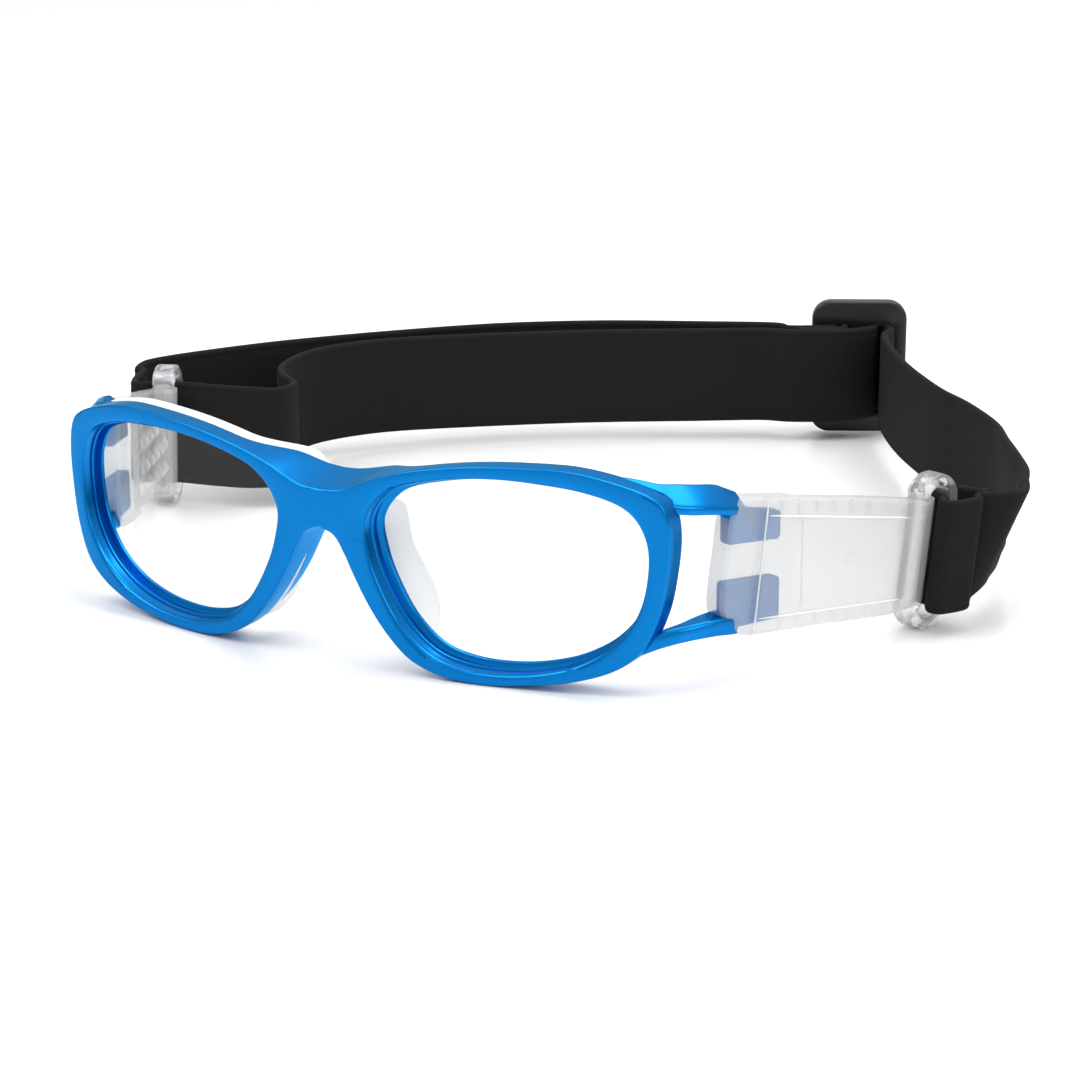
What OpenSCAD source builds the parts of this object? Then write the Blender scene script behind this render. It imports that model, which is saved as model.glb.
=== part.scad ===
// Sports protective goggles: wrapped two-lens frame, soft clear temples, swivelling strap rings,
// and an elastic head strap with a sliding tri-glide buckle.
// Millimetres. +Z up, the goggles rest on the plane z = 0, the wearer faces -Y, +X is the wearer's left.

/* [Front frame] */
// Radius of the wrapped front surface
wrap_radius = 168; // [120:1:220]
// Depth of the outer rim wall
rim_depth = 4.2; // [3:0.1:8]
// Depth of the inner collar round each lens
collar_depth = 6.4; // [5:0.1:10]
// Depth of the bridge over the nose
bridge_depth = 9; // [6:0.5:14]
// Lens thickness
lens_thickness = 1.8; // [1:0.1:3]

/* [Temples] */
// Angle of each temple, outward from straight back
temple_angle = 22.5; // [0:0.5:35]
// Temple thickness
temple_thickness = 5.2; // [4:0.1:8]
// Distance from the temple's front corner to the flex line
flex_at = 15.2; // [12:0.1:20]
// Distance from the temple's front corner to the ring pin
pin_at = 43; // [35:0.5:60]

/* [Strap rings] */
// Ring height
ring_height = 27.6; // [24:0.1:32]
// Ring width across the strap
ring_width = 4.4; // [3:0.1:6]
// Radius of the bar that swivels in the temple
pin_radius = 1.6; // [1:0.05:2]
// Backward lean of the ring and of the temple's rear end
ring_lean = 7.5; // [0:0.5:12]
// Radial running clearance of that bar
pin_clearance = 0.06; // [0.02:0.01:0.1]

/* [Strap] */
// Webbing width
webbing_width = 20; // [15:1:30]
// Webbing thickness
webbing_thickness = 1.5; // [1:0.1:2.5]
// Height of the webbing's lower edge
webbing_low = 4; // [2:0.5:8]

/* [Tri-glide] */
// Direction of the tri-glide plate
glide_angle = 28; // [0:1:60]
// Plate height
glide_height = 27.2; // [24:0.1:32]
// Plate width
glide_width = 20; // [16:0.5:28]
// Plate thickness
glide_thickness = 3.2; // [2:0.1:5]

/* [Hidden] */

$fn = 48;
middle_y = 94.8;                    // half of the overall depth: the origin sits here
hook = [65.2, 24.4];                // outer front corner of the left temple, in plan
glide_centre = [16, 184];
glide_bevel = 0.9;
pin_height = 14;                    // middle of the ring
ring_depth = 9.1;                   // front of the swivel bar to the rear of the ring
ring_bar = 2.2;                     // thickness of the ring's other bars
barrel_height = 18.8;               // rear edge of the temple, round the swivel bar
path_steps = 4;                     // steps between neighbours along the webbing
half = webbing_thickness / 2;
cut_left = 17;                      // reach of the left loop from its pin
cut_right = 15;                     // reach of the right loop from its pin
strap_gap = 2.4;                    // break in the webbing where a loop that turns meets the strap
slide_gap = [-19.4, -20];           // where the strap stops short of the sliding buckle, right and left
stitches = 9;
stitch_pitch = 2.1;
BLUE = [0.05, 0.3, 0.75];
CLEAR = [0.85, 0.93, 0.98, 0.3];
WHITE = [0.93, 0.94, 0.95];
FROSTED = [0.9, 0.93, 0.96, 0.5];
BLACK = [0.06, 0.06, 0.07];
THREAD = [0.2, 0.2, 0.22];

// ---- outlines and small helpers ----

// Smooth curve through the points p, n steps between neighbours; closed or open.
function at(p, i, closed) = closed ? p[(i + len(p)) % len(p)] : p[max(0, min(len(p) - 1, i))];
function bend(a, b, c, d, t) = 0.5 * (2 * b + (c - a) * t + (2 * a - 5 * b + 4 * c - d) * t * t
    + (3 * b - a - 3 * c + d) * t * t * t);
function curve(p, n, closed) = concat(
    [for (i = [0 : len(p) - (closed ? 1 : 2)], k = [0 : n - 1])
        bend(at(p, i - 1, closed), at(p, i, closed), at(p, i + 1, closed), at(p, i + 2, closed), k / n)],
    closed ? [] : [p[len(p) - 1]]);
function unit(v) = v / norm(v);
function side(p, i, closed) = let (d = unit(at(p, i + 1, closed) - at(p, i - 1, closed))) [d[1], -d[0]];
function grown(p, g) = [for (i = [0 : len(p) - 1]) p[i] + g * side(p, i, true)];
function ribbon(p, h) = concat([for (i = [0 : len(p) - 1]) p[i] + h * side(p, i, false)],
    [for (i = [len(p) - 1 : -1 : 0]) p[i] - h * side(p, i, false)]);

// Lens opening of the left eye, counter-clockwise from the nose corner.
opening = curve([[8.9, 26], [9.5, 19.7], [12, 13.6], [15.5, 8.2], [20.5, 4], [26.5, 2.3], [33, 2.1],
    [39.2, 2.9], [45.2, 4.8], [50.8, 8.4], [54.6, 13.6], [56.2, 20], [56, 26.5], [53, 31.4], [46.5, 33.9],
    [38, 34.9], [30.5, 35], [22, 34], [13.4, 31.4]], 4, true);
// Outer outline of the left half of the frame, from the bridge top round to the bridge bottom.
half_outline = curve([[0, 30.1], [3.4, 30.4], [7, 31.5], [10.6, 33.1], [14.6, 34.5], [19.5, 35.7], [27, 36.9],
    [35.3, 37.5], [44.3, 37.4], [52.6, 35.6], [57.6, 33.4], [59.4, 30.6], [59.9, 26], [59.4, 20],
    [58.2, 13.6], [55.6, 7.8], [51, 4.1], [44, 1.7], [37, 0.6], [32, 0], [27, 0], [22, 0.7], [16.8, 2.8],
    [12.7, 6.6], [9.4, 11], [6.9, 15.3], [4.7, 19.6], [2.8, 22.4], [0, 23.6]], 3, false);
outline = concat(half_outline, [for (i = [len(half_outline) - 2 : -1 : 1]) [-half_outline[i][0], half_outline[i][1]]]);

module placed() { translate([0, -middle_y, 0]) children(); }
module both() { children(); mirror([1, 0, 0]) children(); }
module on_side(left) { if (left) children(); else mirror([1, 0, 0]) children(); }

// A flat x-z outline made into a bar along Y.
module through(points) { translate([0, 60, 0]) rotate([90, 0, 0]) linear_extrude(90) polygon(points); }

// The slab between two depths behind the wrapped front surface.
module band(from, to) {
    translate([0, wrap_radius, -5]) difference() {
        cylinder(r = wrap_radius - from, h = 60, $fn = 200);
        translate([0, 0, -1]) cylinder(r = wrap_radius - to, h = 62, $fn = 200);
    }
}
module sheet(points, from, to) { intersection() { through(points); band(from, to); } }

// Local frame of a temple: X along it to the rear, Y outward, Z up.
module temple_space(left) {
    on_side(left) translate([hook[0], hook[1], 0]) rotate([0, 0, 90 - temple_angle]) mirror([0, 1, 0]) children();
}
// Frame of a strap ring: Z along its swivel bar, X to the rear, Y outward.
module ring_space(left) {
    temple_space(left) translate([pin_at, -temple_thickness / 2, pin_height]) rotate([0, ring_lean, 0]) children();
}
// A side view outline (along, up) given a thickness between two offsets from the outer face.
module plate(points, inner, outer) {
    translate([0, outer, 0]) rotate([90, 0, 0]) linear_extrude(outer - inner) polygon(points);
}
module webbing(points) { translate([0, 0, webbing_low]) linear_extrude(webbing_width) polygon(points); }
module rounded(w, h, r) {
    corners = [[w - r, r, -90], [w - r, h - r, 0], [r, h - r, 90], [r, r, 180]];
    polygon([for (c = corners, k = [0 : 6]) [c[0] + r * cos(c[2] + 15 * k), c[1] + r * sin(c[2] + 15 * k)]]);
}

// ---- front frame ----

module frame_front() color(BLUE) placed() {
    difference() {
        union() {
            sheet(grown(outline, 0.5), 0, 0.9);
            sheet(outline, 0.85, rim_depth);
            both() sheet(grown(opening, 2), rim_depth - 0.1, collar_depth);
            intersection() { sheet(outline, 1, bridge_depth); translate([-9, -1, 20]) cube([18, 30, 20]); }
            both() upper_arm();
            both() lower_arm();
        }
        translate([-70, -10, -5]) cube([140, 40, 5]);
        both() sheet(opening, -1, 1.6);
        both() sheet(grown(opening, -0.4), 1.5, 2.4);
        both() sheet(opening, 2.3, 3.6);
        both() sheet(grown(opening, -0.8), 3.5, 4.6);
        both() sheet(grown(opening, 1.05), collar_depth - lens_thickness - 0.05, collar_depth + 6);
    }
    both() lugs();
}
module arm_plan(h0, h1) {
    translate([0, 0, h0]) linear_extrude(h1 - h0)
        polygon([[57.6, 10.2], [59.9, 11], [61.6, 13.4], [63.1, 16.6], [64.4, 20.4], [65.1, 23.9],
                 [65.2, 24.6], [61.5, 26.1], [60.4, 22], [59, 18], [57.2, 14.9], [55.4, 13.8]]);
}
module seen_from_side(points) { rotate([90, 0, 90]) translate([0, 0, 50]) linear_extrude(20) polygon(points); }
module upper_arm() {
    intersection() {
        arm_plan(20, 40);
        seen_from_side([[9, 29.6], [14, 28.8], [20, 28], [27, 27.3], [27, 30.2], [20, 31.7], [16, 33.2],
                        [12, 34.4], [9, 35]]);
    }
}
module lower_arm() {
    intersection() {
        arm_plan(5, 15);
        seen_from_side([[9, 8.8], [14, 8.4], [20, 8], [27, 7.6], [27, 11.4], [20, 12], [14, 12.6], [9, 13.4]]);
    }
}
module lugs() {
    temple_space(true) {
        plate([[-0.6, 28], [-0.6, 23.2], [12.4, 22.4], [12.4, 26.6], [11.6, 27.2]], -3.9, -1.3);
        plate([[-0.6, 8.8], [-0.6, 16.8], [12.4, 16], [12.4, 8.8], [11.6, 8]], -3.9, -1.3);
        plate([[-0.8, 27.4], [-2, 27.4], [-2, 30], [-0.5, 29.6]], -3.9, -1.3);
    }
}

module lens(left) color(CLEAR) placed() on_side(left)
    sheet(grown(opening, 1), collar_depth - lens_thickness, collar_depth);

// Soft strip behind the brow, and the two pads beside the nose.
module brow_liner() color(WHITE) placed() intersection() {
    difference() {
        sheet(grown(outline, -0.2), collar_depth + 0.1, collar_depth + 3);
        both() sheet(grown(opening, 0.4), collar_depth - 1, collar_depth + 5);
        translate([-9.2, -1, 18]) cube([18.4, 10.1 , 20]);
    }
    translate([-57, 0, 30.4]) cube([114, 40, 12]);
}
module nose_pad(left) color(WHITE) placed() on_side(left) difference() {
    intersection() {
        union() {
            sheet(grown(outline, -0.3), bridge_depth + 0.1, bridge_depth + 2.4);
            sheet(grown(outline, -0.3), rim_depth + 0.1, bridge_depth + 2.4);
        }
        translate([2.4, -1, 5]) cube([13, 30, 25]);
    }
    sheet(grown(opening, 2.1), -1, collar_depth + 0.1);
    sheet(grown(opening, 0.6), -1, bridge_depth + 5);
    translate([-1, -1, 19]) cube([10.2, 10.3, 20]);
}

// ---- temples ----

socket_side = [[-2.6, 12.7], [-0.4, 9.3], [2.1, 7.4], [6, 6.9], [flex_at - 0.1, 6.2],
    [flex_at - 0.1, 29], [10.7, 29.7], [6.6, 30.4], [3.8, 30.8], [0.4, 29.2], [-0.6, 22]];
socket_panel = [[3.7, 7.4], [6, 6.9], [flex_at - 0.1, 6.2], [flex_at - 0.1, 29], [10.7, 29.7], [6.6, 30.4]];
temple_side = [[flex_at + 0.5, 6.2], [30, 4.8], [37.4, 4.3], [39.4, 4.7], [41.8, 5.3], [44.1, 22.6], [41.8, 23.2],
    [39.8, 24.2], [30, 26.2], [20, 28], [flex_at + 0.5, 28.9]];

module temple_socket(left) color(FROSTED) placed() temple_space(left) difference() {
    union() {
        plate(socket_side, -temple_thickness, -0.7);
        plate(socket_panel, -temple_thickness, 0);
    }
    // pockets for the two lugs
    plate([[-8, 29.4], [-8, 23], [-0.7, 23.05], [12.6, 22.2], [12.6, 26.8], [11.7, 27.4], [-0.7, 28.2]], -4, -1.2);
    plate([[-8, 8], [-8, 17.6], [-0.7, 17], [12.6, 16.2], [12.6, 8.6], [11.7, 7.9], [-0.7, 8.6]], -4, -1.2);
    // room for the ends of the arms
    plate([[-8, 31], [0.6, 31], [0.6, 26], [-8, 26]], -temple_thickness - 1, 1);
    plate([[-8, 13], [0.6, 13], [0.6, 7], [-8, 7]], -temple_thickness - 1, 1);
    // hollow that the root of the flexing part turns in
    translate([flex_at, -temple_thickness / 2, 0]) cylinder(r = 2.3, h = 40);
}

module temple(left) color(FROSTED) placed() difference() {
    union() {
        temple_space(left) temple_plate();
        ring_space(left) cylinder(r = temple_thickness / 2, h = barrel_height, center = true);
    }
    ring_space(left) cylinder(r = pin_radius + pin_clearance, h = 40, center = true);
}
module temple_plate() difference() {
    union() {
        plate(temple_side, -3.2, -0.4);
        plate([for (p = temple_side) [p[0], 16 + (p[1] - 16) * 0.72]], -3.2, 0);
        difference() {
            translate([flex_at, -temple_thickness / 2, 6.4]) cylinder(r = 2.2, h = 22.2);
            translate([flex_at + 2, -8, 0]) cube([5, 10, 40]);
        }
        translate([flex_at + 0.5, -4.6, 6.4]) cube([2, 4.2, 22.2]);
    }
    // ticks along the two band lines
    for (k = [0 : 5]) translate([20 + 3.6 * k, -0.6, 24.4 - 0.55 * k]) cube([1, 2, 0.6]);
    for (k = [0 : 5]) translate([20 + 3.6 * k, -0.6, 7.4 - 0.3 * k]) cube([1, 2, 0.6]);
}
module temple_pad(left) color(FROSTED) placed() temple_space(left) {
    plate([[18.2, 8], [30, 7], [38.6, 6.6], [38.6, 22], [30, 24], [18.2, 26.2]], -4.4, -3.25);
    for (k = [0 : 4]) plate([[20 + 3.8 * k, 9], [22 + 3.8 * k, 9], [22 + 3.8 * k, 24 - 0.8 * k],
        [20 + 3.8 * k, 24.4 - 0.8 * k]], -5.2, -4.35);
}

// ---- strap rings ----

module strap_ring(left) color(CLEAR) placed() ring_space(left) {
    translate([-pin_radius, ring_width / 2, -ring_height / 2]) rotate([90, 0, 0])
        linear_extrude(ring_width) difference() {
            rounded(ring_depth, ring_height, 4.5);
            translate([2 * pin_radius, ring_bar])
                rounded(ring_depth - 2 * pin_radius - ring_bar, ring_height - 2 * ring_bar, 1.8);
            translate([-1, 3.9]) square([2 * pin_radius + 1.1, ring_height - 7.8]);
        }
    cylinder(r = pin_radius, h = ring_height - 4, center = true);
}

// ---- strap ----

// Points given along and outward in the frame of a temple, in plan; m = -1 for the right side.
function in_plan(points, m) = [for (q = points)
    let (v = hook + q[0] * [sin(temple_angle), cos(temple_angle)] + q[1] * [cos(temple_angle), -sin(temple_angle)])
    [m * v[0], v[1]]];

// Left loop, along and outward: from its stitched end round the rear bar of the ring and out to the strap.
left_path = curve([[57.4, 3.7], [54.9, 1.6], [53.2, -0.8], [52.2, -3.4], [51.1, -5.9], [48.9, -6.7],
    [47.1, -5.2], [46.75, -2.4], [46.5, -0.2], [45.2, 0.7], [44.1, 2.1], [44.6, 3.7], [46.6, 4.1],
    [49.4, 3.7], [53, 3.5], [57.3, 6], [60.3, 7.5], [62.9, 6.5]], path_steps, false);
single_path = curve(concat(in_plan([[53, 3.5], [57.3, 6]], 1), [[95.2, 77.2], [95.3, 80], [93.8, 83.8],
    [91, 89.6], [84.7, 102], [76.6, 114.7], [68.4, 124], [58.7, 133.8], [48.9, 143.2], [38.9, 156],
    [30, 168], [24.6, 178]]), path_steps, false);
// Right loop: the webbing comes in from outside, passes through the ring and leaves inwards.
right_path = curve([[64.7, 5.7], [60, 5.6], [52.4, 5.2], [47.4, 4.6], [45.4, 3.4], [45.6, 1.6],
    [46.75, -0.4], [46.75, -2.4], [46.4, -5.2], [45.6, -8.9], [44.6, -13.9], [44, -18.8]], path_steps, false);
outer_path = curve(concat(in_plan([[52.4, 5.2], [60, 5.6]], -1), [[-95.3, 82], [-92.4, 88.6], [-87.9, 96.4],
    [-79.2, 112.5], [-65.4, 129.9], [-50.4, 145.9], [-33, 158.8], [-14, 168.6], [0, 175], [6.6, 178]]), path_steps, false);
inner_path = curve(concat(in_plan([[45.6, -8.9], [44.6, -13.9], [44, -18.8]], -1), [[-60.2, 74.4], [-58.4, 77.6],
    [-59.6, 81.8], [-65.2, 86.4], [-69, 91.2], [-71.2, 99], [-71, 107.6], [-66.4, 117.8], [-59, 126.4],
    [-42.2, 140.6], [-28.6, 150.8], [-10.8, 162.2], [4, 171], [8, 173.4]]), path_steps, false);

module near_pin(left, r) { ring_space(left) cylinder(r = r, h = 80, center = true); }
module strap_loop(left) color(BLACK) placed() intersection() {
    near_pin(left, left ? cut_left : cut_right);
    ring_space(left) translate([-pin_at, temple_thickness / 2, -webbing_width / 2])
        linear_extrude(webbing_width) polygon(ribbon(left ? left_path : right_path, half));
}
module loop_stitching() color(THREAD) placed() ring_space(true) for (k = [0 : stitches - 1])
    translate([13.2, 4.6, stitch_pitch * (k - 4)]) cube([1, 4.4, 0.5]);
module strap_single() color(BLACK) placed() difference() {
    webbing(ribbon(single_path, half));
    near_pin(true, cut_left + strap_gap);
    glide_space() translate([slide_gap[1], -9, 0]) cube([60, 30, 40]);
}
module strap_outer_layer() color(BLACK) placed() difference() {
    webbing(ribbon(outer_path, half));
    near_pin(false, cut_right + strap_gap);
    glide_space() translate([slide_gap[0], -30, 0]) cube([60, 60, 40]);
}
module strap_inner_layer() color(BLACK) placed() difference() {
    webbing(ribbon(inner_path, half));
    near_pin(false, cut_right + strap_gap);
    glide_space() translate([slide_gap[0], -30, 0]) cube([60, 60, 40]);
}

// ---- tri-glide buckle ----

// Local frame of the tri-glide: X along the plate, Y out of its back, Z up.
module glide_space() { translate([glide_centre[0], glide_centre[1], 0]) rotate([0, 0, glide_angle]) children(); }

// A rectangle with its four corners cut off.
module chamfered(w, h, c) {
    polygon([[c, 0], [w - c, 0], [w, c], [w, h - c], [w - c, h], [c, h], [0, h - c], [0, c]]);
}
module tri_glide() color(BLACK) placed() glide_space() difference() {
    intersection() {
        translate([-glide_width / 2, glide_thickness / 2, 0]) rotate([90, 0, 0]) linear_extrude(glide_thickness)
            rounded(glide_width, glide_height, 4);
        translate([-glide_width / 2, -glide_thickness / 2, 0]) linear_extrude(glide_height)
            chamfered(glide_width, glide_thickness, glide_bevel);
        translate([-glide_width, -glide_thickness / 2, 0]) rotate([90, 0, 90]) linear_extrude(2 * glide_width)
            chamfered(glide_thickness, glide_height, glide_bevel);
    }
    for (x = [-7, 1.9]) translate([x, 3, 3]) rotate([90, 0, 0]) linear_extrude(6) rounded(5.1, glide_height - 6, 0.8);
}
weave_path = curve([[6.7, -8], [6.5, -5], [6, -2.2], [5.5, 0], [5, 2.4], [2.9, 4.7], [0, 5.1], [-2.9, 4.5],
    [-4.9, 2.3], [-5.4, 0], [-5.5, -1.6], [-7, -2.9], [-10, -2.9], [-15, -2.9]], path_steps - 1, false);
sewn_path = curve([[-15, -6.9], [-9, -6.9], [-4.5, -6.5], [-0.4, -4.9], [2.2, -3.2], [3.1, -1.4], [3.1, 1.2],
    [2.4, 2.6], [0, 3], [-2.4, 2.6], [-3.1, 1.2], [-3.1, -1.2], [-3.4, -2.8], [-4.9, -4.3], [-7, -4.9],
    [-9, -5], [-13, -5]], path_steps - 1, false);
module strap_weave() color(BLACK) placed() glide_space() webbing(ribbon(weave_path, half));
module strap_sewn_end() color(BLACK) placed() glide_space() webbing(ribbon(sewn_path, half));
module slider_stitching() color(THREAD) placed() glide_space()
    for (k = [0 : stitches - 1]) translate([-12, -7.7, webbing_low + 1.4 + stitch_pitch * k]) cube([1, 3.4, 0.5]);

// ---- nodes ----

frame_front();
lens(true);  // lens_left
lens(false);  // lens_right
brow_liner();
nose_pad(true);  // nose_pad_left
nose_pad(false);  // nose_pad_right
temple_socket(true);  // temple_socket_left
temple_socket(false);  // temple_socket_right
temple(true);  // temple_left
temple(false);  // temple_right
temple_pad(true);  // temple_pad_left
temple_pad(false);  // temple_pad_right
strap_ring(true);  // strap_ring_left
strap_ring(false);  // strap_ring_right
strap_loop(true);  // strap_loop_left
strap_loop(false);  // strap_loop_right
loop_stitching();
strap_single();
strap_outer_layer();
strap_inner_layer();
tri_glide();
strap_weave();
strap_sewn_end();
slider_stitching();
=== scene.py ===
"""Looks of the sports goggles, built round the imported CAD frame. Lengths below are in millimetres."""
import math

import bmesh
import bpy
import numpy as np
from mathutils import Matrix, Vector


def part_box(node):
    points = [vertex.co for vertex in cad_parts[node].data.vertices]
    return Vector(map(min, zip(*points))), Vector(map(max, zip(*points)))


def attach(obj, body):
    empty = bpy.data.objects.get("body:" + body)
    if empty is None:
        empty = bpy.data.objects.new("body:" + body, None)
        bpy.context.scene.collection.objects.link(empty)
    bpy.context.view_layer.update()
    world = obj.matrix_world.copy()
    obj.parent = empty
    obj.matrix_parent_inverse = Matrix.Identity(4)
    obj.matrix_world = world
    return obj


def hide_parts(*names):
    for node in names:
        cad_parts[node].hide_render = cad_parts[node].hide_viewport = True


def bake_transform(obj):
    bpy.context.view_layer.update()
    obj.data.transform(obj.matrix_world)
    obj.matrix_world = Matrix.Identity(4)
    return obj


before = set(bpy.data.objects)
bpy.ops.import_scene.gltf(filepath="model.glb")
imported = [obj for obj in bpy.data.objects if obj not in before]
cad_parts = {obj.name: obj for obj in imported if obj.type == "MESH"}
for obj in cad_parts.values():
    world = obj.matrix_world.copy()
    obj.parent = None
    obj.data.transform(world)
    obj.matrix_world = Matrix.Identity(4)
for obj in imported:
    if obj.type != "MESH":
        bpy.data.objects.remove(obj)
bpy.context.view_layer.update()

MM = 0.001
FRONT_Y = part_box("frame_front")[0][1]        # the front surface of the bridge

# ---- driving sizes, as in the CAD model ----

WRAP = 168.0
RIM_DEPTH = 4.2
COLLAR_DEPTH = 6.4
BRIDGE_DEPTH = 9.0
LENS_THICKNESS = 1.8
HOOK = np.array([65.2, 24.4])                # outer front corner of the left temple, in plan
TEMPLE_ANGLE = math.radians(22.5)
TEMPLE_THICKNESS = 5.2
FLEX_AT = 15.2
PIN_AT = 43.0
PIN_HEIGHT = 14.0
LEAN = math.radians(7.5)
RING_HEIGHT = 27.6
RING_WIDTH = 4.4
WEB_WIDTH = 20.0
WEB_HALF = 0.72
WEB_MIDDLE = 14.0
GLIDE_CENTRE = np.array([16.0, 184.0])
GLIDE_ANGLE = math.radians(28)
GLIDE_WIDTH = 20.0
GLIDE_HEIGHT = 27.2
GLIDE_THICKNESS = 3.2

ALONG = np.array([math.sin(TEMPLE_ANGLE), math.cos(TEMPLE_ANGLE)])
OUTWARD = np.array([math.cos(TEMPLE_ANGLE), -math.sin(TEMPLE_ANGLE)])


# ---- frames of reference, each giving metres in the row frame ----

def row(x, y, z):
    """A point of the goggles, y behind the bridge."""
    return (x * MM, y * MM + FRONT_Y, z * MM)


def temple_point(along, outward, up, side):
    """A point beside a temple; side is 1 for the left and -1 for the right."""
    plan = HOOK + along * ALONG + outward * OUTWARD
    return row(side * plan[0], plan[1], up)


def ring_point(back, outward, up, side):
    """A point near a strap ring, measured from the middle of its swivel bar."""
    along = PIN_AT + back * math.cos(LEAN) + up * math.sin(LEAN)
    height = PIN_HEIGHT + up * math.cos(LEAN) - back * math.sin(LEAN)
    return temple_point(along, outward - TEMPLE_THICKNESS / 2, height, side)


def glide_plan(along, back):
    """A point beside the tri-glide, in plan."""
    c, s = math.cos(GLIDE_ANGLE), math.sin(GLIDE_ANGLE)
    return GLIDE_CENTRE + np.array([c * along - s * back, s * along + c * back])


def glide_point(along, back, up):
    """A point beside the tri-glide."""
    x, y = glide_plan(along, back)
    return row(x, y, up)


def wrapped(x, z, depth):
    """A point at a depth behind the wrapped front surface."""
    return row(x, WRAP - math.sqrt((WRAP - depth) ** 2 - x * x), z)


# ---- curves and meshes ----

def smooth(t):
    """A soft step from 0 to 1."""
    t = min(max(t, 0.0), 1.0)
    return t * t * (3 - 2 * t)


def curve(points, steps, closed=False):
    """A smooth curve through the points, with that many steps between neighbours."""
    p = [np.array(q, float) for q in points]
    n = len(p)
    out = []
    for i in range(n if closed else n - 1):
        if closed:
            a, b, c, d = p[i - 1], p[i], p[(i + 1) % n], p[(i + 2) % n]
        else:
            a, b, c, d = p[max(i - 1, 0)], p[i], p[i + 1], p[min(i + 2, n - 1)]
        for k in range(steps):
            t = k / steps
            out.append(0.5 * (2 * b + (c - a) * t + (2 * a - 5 * b + 4 * c - d) * t * t
                              + (3 * b - a - 3 * c + d) * t ** 3))
    if not closed:
        out.append(p[-1])
    return np.array(out)


def make(name, verts, faces, material, sharp=45.0, merge=True):
    """A shaded object; edges steeper than the angle sharp stay crisp."""
    mesh = bpy.data.meshes.new(name)
    mesh.from_pydata([tuple(v) for v in verts], [], faces)
    mesh.validate()
    mesh.update()
    obj = bpy.data.objects.new(name, mesh)
    bpy.context.scene.collection.objects.link(obj)
    mesh.shade_smooth()
    mesh.set_sharp_from_angle(angle=math.radians(sharp))
    mesh.materials.append(material)
    recalc(mesh, merge)
    return obj


def recalc(mesh, merge=True):
    """Turns the faces outward, and joins points that coincide."""
    b = bmesh.new()
    b.from_mesh(mesh)
    if merge:
        bmesh.ops.remove_doubles(b, verts=b.verts, dist=1e-6)
    bmesh.ops.recalc_face_normals(b, faces=b.faces)
    b.to_mesh(mesh)
    b.free()


def tube(loops, closed=False):
    """Vertices and faces of a skin over loops of the same length; its ends are capped unless it is closed."""
    n = len(loops[0])
    verts = [p for loop in loops for p in loop]
    faces = []
    for i in range(len(loops) if closed else len(loops) - 1):
        j = (i + 1) % len(loops)
        for k in range(n):
            m = (k + 1) % n
            faces.append((i * n + k, i * n + m, j * n + m, j * n + k))
    if not closed:
        faces.append(tuple(range(n)))
        faces.append(tuple((len(loops) - 1) * n + k for k in range(n)))
    return verts, faces


def rounded(width, height, radius, steps=4):
    """A rounded rectangle about the origin, counter-clockwise."""
    out = []
    for cx, cy, start in ((1, -1, -90), (1, 1, 0), (-1, 1, 90), (-1, -1, 180)):
        for k in range(steps + 1):
            a = math.radians(start + 90 * k / steps)
            out.append((cx * (width / 2 - radius) + radius * math.cos(a),
                        cy * (height / 2 - radius) + radius * math.sin(a)))
    return out


def joined(name, parts, material, sharp=45.0):
    """One mesh from several (vertices, faces) parts."""
    verts, faces = [], []
    for v, f in parts:
        base = len(verts)
        verts += list(v)
        faces += [tuple(base + i for i in face) for face in f]
    return make(name, verts, faces, material, sharp)


# ---- materials ----

def principled(name, colour, roughness, **more):
    """A plain material; more gives other inputs of the shader, with _ for each space in a name."""
    m = bpy.data.materials.new(name)
    m.use_nodes = True
    shader = m.node_tree.nodes["Principled BSDF"]
    shader.inputs["Base Color"].default_value = (*colour, 1)
    shader.inputs["Roughness"].default_value = roughness
    for key, value in more.items():
        shader.inputs[key.replace("_", " ")].default_value = value
    return m


def add_bump(m, texture, strength, distance):
    """Lets a texture's height tilt the surface of a material."""
    nodes, links = m.node_tree.nodes, m.node_tree.links
    bump = nodes.new("ShaderNodeBump")
    bump.inputs["Strength"].default_value = strength
    bump.inputs["Distance"].default_value = distance
    links.new(texture, bump.inputs["Height"])
    links.new(bump.outputs["Normal"], nodes["Principled BSDF"].inputs["Normal"])


def blue_plastic():
    """Pearly blue: nearly a metal, with a cyan sheen at grazing angles and a thin clear coat."""
    return principled("frame_blue", (0.0, 0.16, 0.48), 0.27, Metallic=0.92, Specular_Tint=(0.15, 0.75, 1, 1),
                      Coat_Weight=0.1, Coat_Roughness=0.05)


def white_silicone():
    """Soft white that lets a little light straight through."""
    return see_through("silicone_white", (0.92, 0.92, 0.9), 0.4, 0.22, False)


def see_through(name, colour, roughness, clear, relief):
    """A cloudy clear plastic: a share of the light goes straight through."""
    m = principled(name, colour, roughness, Coat_Weight=0.4, Coat_Roughness=0.12)
    nodes, links = m.node_tree.nodes, m.node_tree.links
    window = nodes.new("ShaderNodeBsdfTransparent")
    mix = nodes.new("ShaderNodeMixShader")
    mix.inputs[0].default_value = clear
    links.new(nodes["Principled BSDF"].outputs[0], mix.inputs[1])
    links.new(window.outputs[0], mix.inputs[2])
    links.new(mix.outputs[0], nodes["Material Output"].inputs["Surface"])
    if relief:
        mottle = nodes.new("ShaderNodeTexNoise")
        mottle.inputs["Scale"].default_value = 420
        mottle.inputs["Detail"].default_value = 2.0
        add_bump(m, mottle.outputs["Fac"], 0.6, 0.0008)
    return m


def ring_plastic():
    """Clear, with soft grey refractions."""
    m = see_through("ring_clear", (0.9, 0.91, 0.93), 0.02, 0.2, False)
    shader = m.node_tree.nodes["Principled BSDF"]
    shader.inputs["Transmission Weight"].default_value = 0.85
    shader.inputs["IOR"].default_value = 1.4
    return m


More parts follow.
